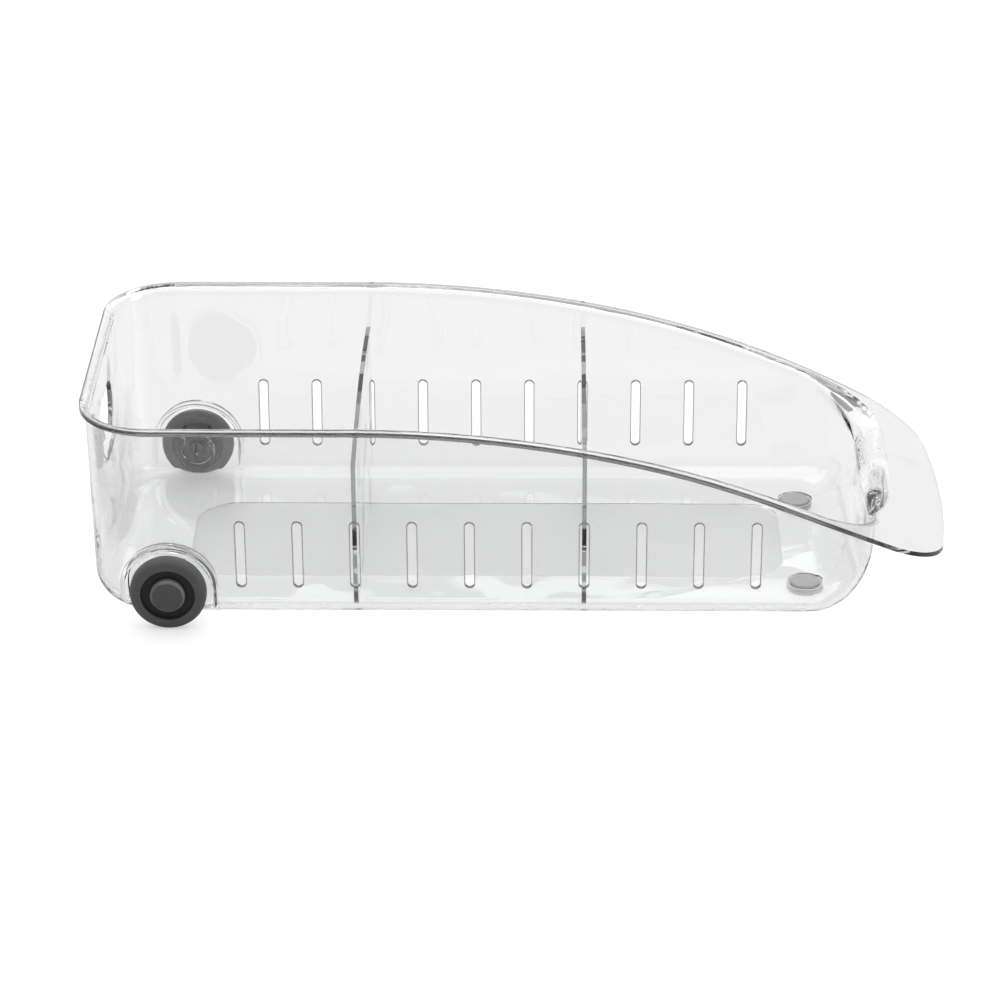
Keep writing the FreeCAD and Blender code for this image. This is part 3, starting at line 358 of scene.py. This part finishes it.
# %% Clear plastic
CLEAR_IOR = 1.57
CLEAR_SHEEN = 0.12
POLISHED = 0.012
HAZE_COLOUR = (0.64, 0.65, 0.65, 1.0)
FILM_TINT = (0.975, 0.977, 0.977, 1.0)


def see_through_shadow(tree, shader, output):
    """Let lamps shine through: for shadow and diffuse rays the piece is a clear film."""
    film = add(tree, "ShaderNodeBsdfTransparent", Color=FILM_TINT)
    path = add(tree, "ShaderNodeLightPath")
    ask = calculate(tree, "MAXIMUM", path.outputs["Is Shadow Ray"], path.outputs["Is Diffuse Ray"])
    swap = add(tree, "ShaderNodeMixShader")
    tree.links.new(ask, swap.inputs[0])
    tree.links.new(shader.outputs["BSDF"], swap.inputs[1])
    tree.links.new(film.outputs["BSDF"], swap.inputs[2])
    tree.links.new(swap.outputs["Shader"], output.inputs["Surface"])


def start_clear_plastic(name, tint, density):
    """A clear material with haze in its thickness, through which lamps shine."""
    material, tree, shader, output = new_material(
        name, Base_Color=tint, Transmission_Weight=1.0, IOR=CLEAR_IOR, Metallic=0.0,
        Specular_IOR_Level=CLEAR_SHEEN)
    haze = add(tree, "ShaderNodeVolumeAbsorption", Color=HAZE_COLOUR, Density=density)
    tree.links.new(haze.outputs["Volume"], output.inputs["Volume"])
    see_through_shadow(tree, shader, output)
    return material, tree, shader


print("clear plastic bends light by", CLEAR_IOR)


# %% Clear plastic of the bin
CLEAR_TINT = (0.914, 0.917, 0.917, 1.0)
PANEL_TINT = (0.800, 0.803, 0.803, 1.0)
# The edge colour is painted shade, for the light caught in the wall along the slots and the rim.
EDGE_PAINTED_SHADE = (0.09, 0.093, 0.093, 1.0)
BIN_DENSITY = 5.0
PANEL_ROUGH = 0.42
BIN_WAVES, BIN_WAVE_HEIGHT = 26.0, 0.0006
GRAIN_SCALE, GRAIN_HEIGHT = 2600.0, 0.00012


def make_clear_bin():
    """Polished clear plastic with a matt panel in the floor, and shade painted along the edges of the
    slots and the rim.
    """
    material, tree, shader = start_clear_plastic("clear_bin", CLEAR_TINT, BIN_DENSITY)
    place = object_place(tree)
    panel = panel_mask(tree, place)
    connect(tree, between(tree, panel, 0.0, 1.0, POLISHED, PANEL_ROUGH), shader.inputs["Roughness"])
    waves = use_group(tree, moulded_waves, Scale=BIN_WAVES)
    wavy = bump(tree, waves.outputs["Height"], BIN_WAVE_HEIGHT)
    grain = calculate(tree, "MULTIPLY", noise(tree, place, GRAIN_SCALE, 2.0, 0.6), panel)
    connect(tree, bump(tree, grain, GRAIN_HEIGHT, 0.6, wavy), shader.inputs["Normal"])
    # Painted shade: the edges of the slots and the rim are darkened in the colour, for light caught in the
    # wall.
    edges = calculate(tree, "MAXIMUM", slot_edge_shade_mask(tree, place), rim_edge_shade_mask(tree, place))
    plain = mix_colours(tree, panel, CLEAR_TINT, PANEL_TINT)
    connect(tree, mix_colours(tree, edges, plain, EDGE_PAINTED_SHADE), shader.inputs["Base Color"])
    return material


clear_bin = make_clear_bin()
print("material:", clear_bin.name)


# %% Clear plastic of the dividers
DIVIDER_TINT = (0.975, 0.978, 0.978, 1.0)
DIVIDER_DENSITY = 20.0
DIVIDER_WORN = 0.06
DIVIDER_WAVES, DIVIDER_WAVE_HEIGHT = 34.0, 0.0004


def make_clear_divider():
    """The same clear plastic as the bin's, polished all over, with a few scuffs."""
    material, tree, shader = start_clear_plastic("clear_divider", DIVIDER_TINT, DIVIDER_DENSITY)
    waves = use_group(tree, moulded_waves, Scale=DIVIDER_WAVES)
    wear = use_group(tree, fine_wear, Scale=420.0)
    connect(tree, bump(tree, waves.outputs["Height"], DIVIDER_WAVE_HEIGHT), shader.inputs["Normal"])
    scuffed = between(tree, wear.outputs["Specks"], 0.0, 1.0, POLISHED, DIVIDER_WORN)
    connect(tree, scuffed, shader.inputs["Roughness"])
    return material


clear_divider = make_clear_divider()
print("material:", clear_divider.name)

# %% [markdown]
# ## Tyres, hubs and pins
#
# The tyre is a soft, matt rubber ring, charcoal rather than black. The hub inside it is a dark, satin
# plastic whose near-black colour also has the shade of its recess in the tyre painted in. The pin's round
# head in its middle is a dark grey plastic, with a highlight painted on its bevelled edge where the bevel
# catches the light. One dark material could do for all three, but the steps between their tones are what
# makes a wheel readable, so each has its own and they share how they wear.

# %% Worn surfaces
CLOUD_LOW, CLOUD_HIGH = 0.3, 0.7
SCUFF_STRENGTH = 0.5


def wear_surface(tree, shader, wear, smooth, rough, scuff_height):
    """A cloudy roughness between two values, and scuffs of the given height in metres."""
    cloudy = between(tree, wear.outputs["Clouds"], CLOUD_LOW, CLOUD_HIGH, smooth, rough)
    connect(tree, cloudy, shader.inputs["Roughness"])
    scuffs = bump(tree, wear.outputs["Specks"], scuff_height, SCUFF_STRENGTH)
    connect(tree, scuffs, shader.inputs["Normal"])


print("roughness follows clouds from", CLOUD_LOW, "to", CLOUD_HIGH)


# %% Tyre rubber
TYRE_DARK, TYRE_LIGHT = (0.069, 0.070, 0.071, 1.0), (0.094, 0.095, 0.096, 1.0)
TYRE_DUST = (0.16, 0.16, 0.155, 1.0)
DUST_SHARE = 0.25


def make_tyre_rubber():
    """Charcoal rubber: matt, faintly cloudy, with the fine grain of a moulded ring."""
    material, tree, shader, _ = new_material("tyre_rubber", Metallic=0.0, Specular_IOR_Level=0.5)
    wear = use_group(tree, fine_wear, Scale=900.0)
    tone = mix_colours(tree, wear.outputs["Clouds"], TYRE_DARK, TYRE_LIGHT)
    dust = calculate(tree, "MULTIPLY", wear.outputs["Specks"], DUST_SHARE)
    connect(tree, mix_colours(tree, dust, tone, TYRE_DUST), shader.inputs["Base Color"])
    wear_surface(tree, shader, wear, 0.46, 0.58, 0.00006)
    return material


tyre_rubber = make_tyre_rubber()
print("material:", tyre_rubber.name)


# %% Dark plastic of the hub, with the shade of its recess painted in
# Both hub tones carry the hub's own dark colour together with painted shade from its recess in the tyre.
HUB_SHADED_DARK, HUB_SHADED_LIGHT = (0.007, 0.007, 0.0075, 1.0), (0.011, 0.011, 0.0115, 1.0)


def make_hub_plastic():
    """Satin moulded plastic between two close near-black tones, with the shade of the hub's recess painted
    in.
    """
    material, tree, shader, _ = new_material("hub_plastic", Metallic=0.0, Specular_IOR_Level=0.3)
    wear = use_group(tree, fine_wear, Scale=1400.0)
    tone = mix_colours(tree, wear.outputs["Clouds"], HUB_SHADED_DARK, HUB_SHADED_LIGHT)
    connect(tree, tone, shader.inputs["Base Color"])
    wear_surface(tree, shader, wear, 0.34, 0.46, 0.00003)
    return material


hub_plastic = make_hub_plastic()
print("material:", hub_plastic.name)


# %% Dark plastic of the pin
AXLE_Y, AXLE_Z = 0.1554, 0.01715
BEVEL_INNER, BEVEL_BLUR = 0.0066, 0.0003
PIN_DARK, PIN_LIGHT = (0.060, 0.061, 0.062, 1.0), (0.075, 0.076, 0.077, 1.0)
# A painted highlight: the light grey that the bevel shows where it catches the light.
PIN_PAINTED_HIGHLIGHT = (0.17, 0.171, 0.172, 1.0)


def make_pin_plastic():
    """Dark grey plastic, with a highlight painted along the bevelled edge of the pin's head."""
    material, tree, shader, _ = new_material("pin_plastic", Metallic=0.0)
    wear = use_group(tree, fine_wear, Scale=1400.0)
    _, back, height = parts_of(tree, object_place(tree))
    from_axle = slant(tree, calculate(tree, "SUBTRACT", back, AXLE_Y),
                      calculate(tree, "SUBTRACT", height, AXLE_Z))
    # The bevel's ring gets a painted highlight where it catches the light, made patchy by the clouds.
    bevel = between(tree, from_axle, BEVEL_INNER, BEVEL_INNER + BEVEL_BLUR, 0.0, 1.0)
    patchy = between(tree, wear.outputs["Clouds"], CLOUD_LOW, CLOUD_HIGH, 0.6, 1.0)
    painted_highlight = calculate(tree, "MULTIPLY", bevel, patchy)
    plain = mix_colours(tree, wear.outputs["Clouds"], PIN_DARK, PIN_LIGHT)
    connect(tree, mix_colours(tree, painted_highlight, plain, PIN_PAINTED_HIGHLIGHT), shader.inputs["Base Color"])
    wear_surface(tree, shader, wear, 0.36, 0.48, 0.00003)
    return material


pin_plastic = make_pin_plastic()
print("material:", pin_plastic.name)

# %% [markdown]
# ## Rubber feet
#
# The feet are mid-grey rubber, and are seen through the clear plastic. Each is pushed through a hole
# in the bin's floor: its round head rests in a shallow seat inside, and its wider base is under the
# floor. They could share the tyres' material, but they are a lighter rubber, so they get their own
# with the same way of wearing.

# %% Foot rubber
FOOT_DARK, FOOT_LIGHT = (0.33, 0.33, 0.33, 1.0), (0.39, 0.39, 0.387, 1.0)


def make_foot_rubber():
    """Mid-grey rubber, matt and slightly mottled."""
    material, tree, shader, _ = new_material("foot_rubber", Metallic=0.0, Specular_IOR_Level=0.3)
    wear = use_group(tree, fine_wear, Scale=1100.0)
    tone = mix_colours(tree, wear.outputs["Clouds"], FOOT_DARK, FOOT_LIGHT)
    connect(tree, tone, shader.inputs["Base Color"])
    wear_surface(tree, shader, wear, 0.55, 0.7, 0.00005)
    return material


foot_rubber = make_foot_rubber()
print("material:", foot_rubber.name)

# %% [markdown]
# ## Which piece gets which finish
#
# The CAD pieces keep their own shape, so it is enough to fill each one's material slot. The two
# dividers, and each pair of tyres, hubs, pins and feet, share one material.

# %% Give the pieces their finish
FINISHES = {
    "bin": clear_bin,
    "divider_rear": clear_divider,
    "divider_front": clear_divider,
    "tyre_left": tyre_rubber,
    "tyre_right": tyre_rubber,
    "wheel_hub_left": hub_plastic,
    "wheel_hub_right": hub_plastic,
    "axle_pin_left": pin_plastic,
    "axle_pin_right": pin_plastic,
    "rubber_foot_left": foot_rubber,
    "rubber_foot_right": foot_rubber,
}
for name, finish in FINISHES.items():
    piece = nodes[name].data
    piece.materials.clear()
    piece.materials.append(finish)
    print(name, "->", finish.name)

# %% [markdown]
# ## The floor
#
# The bin stands on a pale studio floor that runs far past the view, so that no edge of it shows. It
# is an ordinary matt surface, which takes the bin's shadow. To a ray that comes from the camera it
# also gives a little light of its own, so that it reads as clean white without more lamp light on
# the object. A ray that reached it off a shiny face, or through the plastic, gets only a share of
# that light, or the clear walls would look washed out.

# %% Floor
FLOOR_RADIUS = 14.0
FLOOR_GLOW = 0.52
MIRRORED_SHARE = 0.3
THROUGH_SHARE = 0.71
SWEEP_HEIGHT = 1.4


def make_floor():
    """A wide matt disc under the bin."""
    mesh = bmesh.new()
    bmesh.ops.create_circle(mesh, cap_ends=True, segments=96, radius=FLOOR_RADIUS)
    edge = [side for side in mesh.edges if side.is_boundary]
    raised = bmesh.ops.extrude_edge_only(mesh, edges=edge)["geom"]
    corners = [part for part in raised if isinstance(part, bmesh.types.BMVert)]
    bmesh.ops.translate(mesh, verts=corners, vec=(0, 0, SWEEP_HEIGHT))
    data = bpy.data.meshes.new("studio_floor")
    mesh.to_mesh(data)
    mesh.free()
    floor = bpy.data.objects.new("studio_floor", data)
    bpy.context.scene.collection.objects.link(floor)
    material, tree, shader, output = new_material(
        "floor_paper", Base_Color=(0.5, 0.5, 0.5, 1.0), Roughness=0.9, Specular_IOR_Level=0.0)
    glow = add(tree, "ShaderNodeEmission", Color=(1.0, 1.0, 1.0, 1.0))
    path = add(tree, "ShaderNodeLightPath")
    mirrored = calculate(tree, "MULTIPLY", path.outputs["Is Glossy Ray"], MIRRORED_SHARE)
    through = calculate(tree, "MULTIPLY", path.outputs["Is Transmission Ray"], THROUGH_SHARE)
    seen = calculate(tree, "MAXIMUM", path.outputs["Is Camera Ray"], mirrored)
    seen = calculate(tree, "MAXIMUM", seen, through)
    connect(tree, calculate(tree, "MULTIPLY", seen, FLOOR_GLOW), glow.inputs["Strength"])
    both = add(tree, "ShaderNodeAddShader")
    tree.links.new(shader.outputs["BSDF"], both.inputs[0])
    tree.links.new(glow.outputs["Emission"], both.inputs[1])
    tree.links.new(both.outputs["Shader"], output.inputs["Surface"])
    data.materials.append(material)
    return floor


studio_floor = make_floor()
print("floor radius:", FLOOR_RADIUS)

# %% [markdown]
# ## Light
#
# A product like this is lit by big soft boxes. One, four metres wide, hangs above the bin and gives
# most of the light. A small one would be easier to place, but it draws a hard white line along the
# foot of the far wall. A second, weaker box stands at the pull lip's end. The room around them is a
# soft grey, brighter behind the bin and low down. Clear plastic needs that: if everything around it
# were equally white, its outlines would vanish, and if the room were dark, light that is caught in
# the walls would come out black.

# %% Soft boxes
TOP_PLACE, TOP_SIZE, TOP_POWER = (0.35, 0.1, 1.7), 4.0, 56.0
LIP_PLACE, LIP_SIZE, LIP_POWER = (-0.3, -1.8, 0.9), (0.8, 1.2), 7.0


def soft_box(name, place, aim, width, height, power):
    """A rectangular lamp that faces a point."""
    lamp = bpy.data.lights.new(name, "AREA")
    lamp.shape = "RECTANGLE"
    lamp.size, lamp.size_y = width, height
    lamp.energy = power
    box = bpy.data.objects.new(name, lamp)
    bpy.context.scene.collection.objects.link(box)
    box.location = place
    box.rotation_mode = "QUATERNION"
    box.rotation_quaternion = (Vector(aim) - Vector(place)).to_track_quat("-Z", "Y")
    return box


soft_box("top_soft_box", TOP_PLACE, (0, 0, 0), TOP_SIZE, TOP_SIZE, TOP_POWER)
soft_box("lip_soft_box", LIP_PLACE, (0, 0, 0.05), *LIP_SIZE, LIP_POWER)


# %% Room
ROOM_DARK, ROOM_BRIGHT = 0.42, 0.88
BEHIND_START, BEHIND_FULL = 0.1, 0.75
LOW_END, HIGH_START, HIGH_SHARE = 0.5, 0.8, 0.3


def make_room():
    """A grey surround with a brighter side low down behind the bin."""
    room = bpy.data.worlds.new("studio_room")
    bpy.context.scene.world = room
    room.use_nodes = True
    tree = room.node_tree
    tree.nodes.clear()
    output = tree.nodes.new("ShaderNodeOutputWorld")
    direction = add(tree, "ShaderNodeTexCoord").outputs["Generated"]
    aside, _, up = parts_of(tree, direction)
    behind = between(tree, aside, BEHIND_START, BEHIND_FULL, 0.0, 1.0)
    low = between(tree, up, LOW_END, HIGH_START, 1.0, HIGH_SHARE)
    bright = calculate(tree, "MULTIPLY", behind, low)
    tone = between(tree, bright, 0.0, 1.0, ROOM_DARK, ROOM_BRIGHT)
    light = add(tree, "ShaderNodeBackground", Color=(1.0, 1.0, 1.0, 1.0), Strength=tone)
    tree.links.new(light.outputs["Background"], output.inputs["Surface"])
    return room


studio_room = make_room()
print("room:", studio_room.name)

# %% [markdown]
# ## How far a ray is followed
#
# A ray that is caught in a clear wall is mirrored many times before it comes out again. With the
# usual limits it is given up on the way and counts as black, so the rims look darker than they are.
# Higher limits cost time only where such rays are.

# %% Light paths
ALL_BOUNCES, CLEAR_BOUNCES = 32, 24
paths = bpy.context.scene.cycles
paths.max_bounces = ALL_BOUNCES
paths.glossy_bounces = CLEAR_BOUNCES
paths.transmission_bounces = CLEAR_BOUNCES
print("bounces:", paths.max_bounces)

# %% [markdown]
# ## Finish
#
# The picture uses the plain Standard view, so that a colour renders about as it is written.

# %% View
bpy.context.scene.view_settings.view_transform = "Standard"
